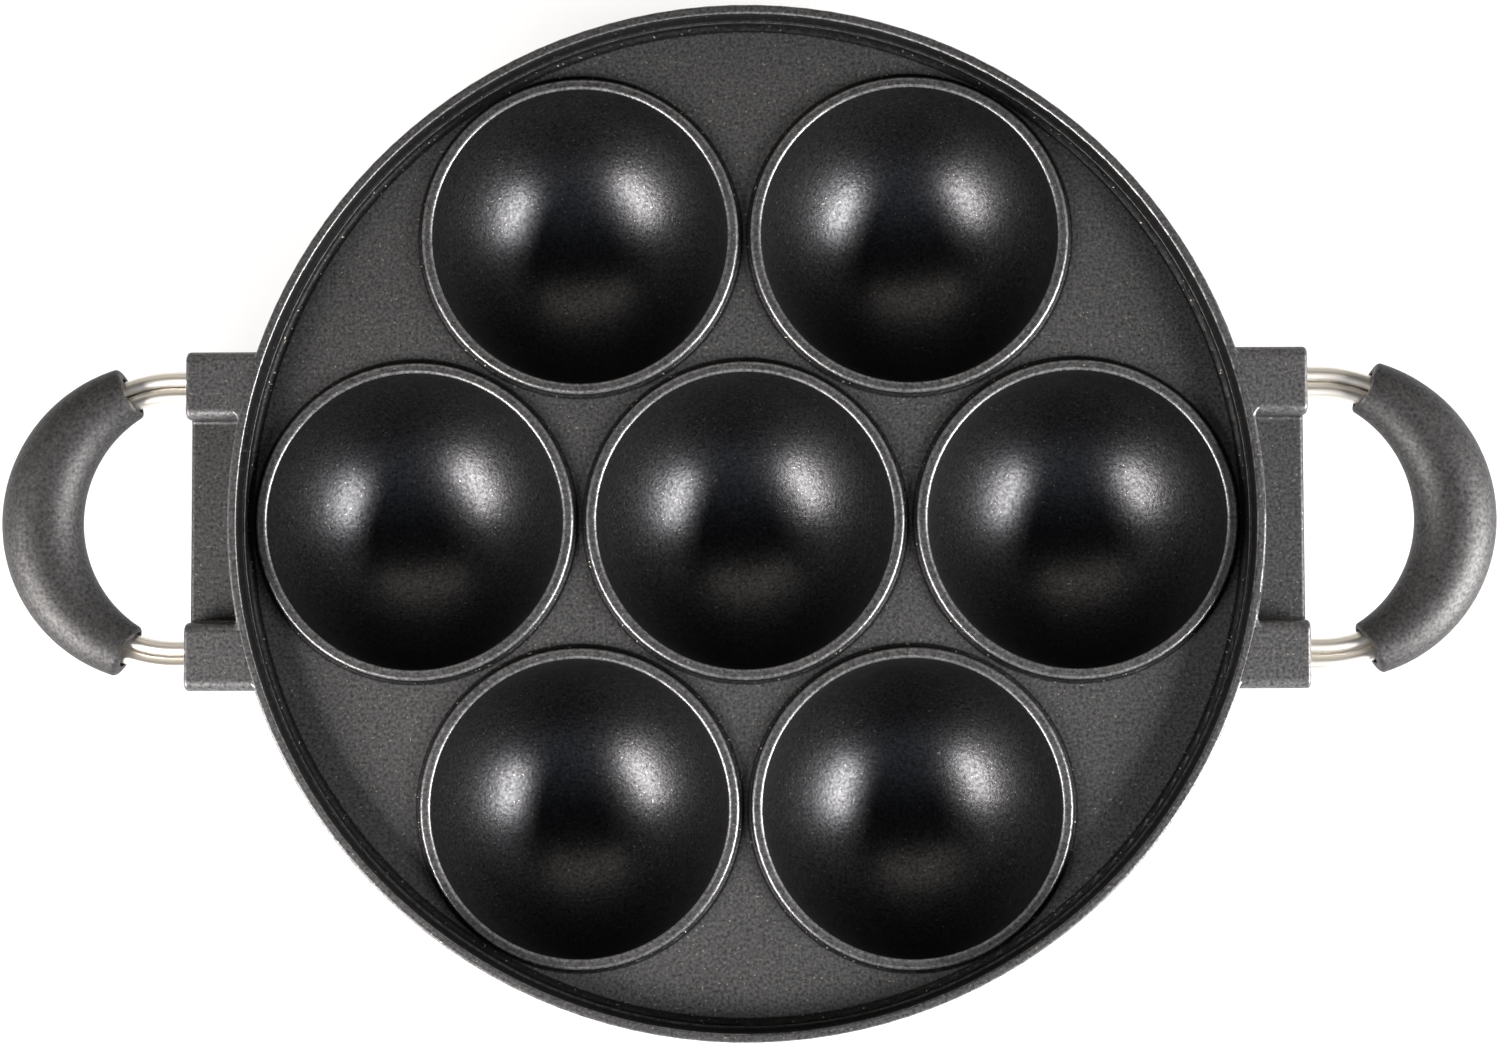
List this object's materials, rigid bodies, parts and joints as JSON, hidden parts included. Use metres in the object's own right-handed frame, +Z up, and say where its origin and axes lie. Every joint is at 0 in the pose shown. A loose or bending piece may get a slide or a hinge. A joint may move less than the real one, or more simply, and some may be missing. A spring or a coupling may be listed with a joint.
{
  "type": "aebleskiver pan",
  "caption": "Round stovetop pan with hemispherical cups in a ring around a centre cup, a low rim and two looped wire handles with soft grips.",
  "frame": {"origin": "on the surface the pan stands on, under the centre cup", "axes": "+X runs through both handles, +Y across them in the plane of the rim, +Z up out of the cups"},
  "size_m": [0.3326, 0.2298, 0.0444],
  "materials": {
    "coated_casting": "thick cast aluminium under a dark fine-grained non-stick coating",
    "steel_wire": "bright drawn stainless wire",
    "soft_grip": "matt dark silicone rubber",
    "steel_pin": "plain spring steel"
  },
  "bodies": {
    "root": {"pan_casting": "coated_casting", "right_outer_wire": "steel_wire", "right_inner_wire": "steel_wire", "right_grip": "soft_grip", "right_locking_pins": "steel_pin", "left_outer_wire": "steel_wire", "left_inner_wire": "steel_wire", "left_grip": "soft_grip", "left_locking_pins": "steel_pin"}
  },
  "joints": []
}
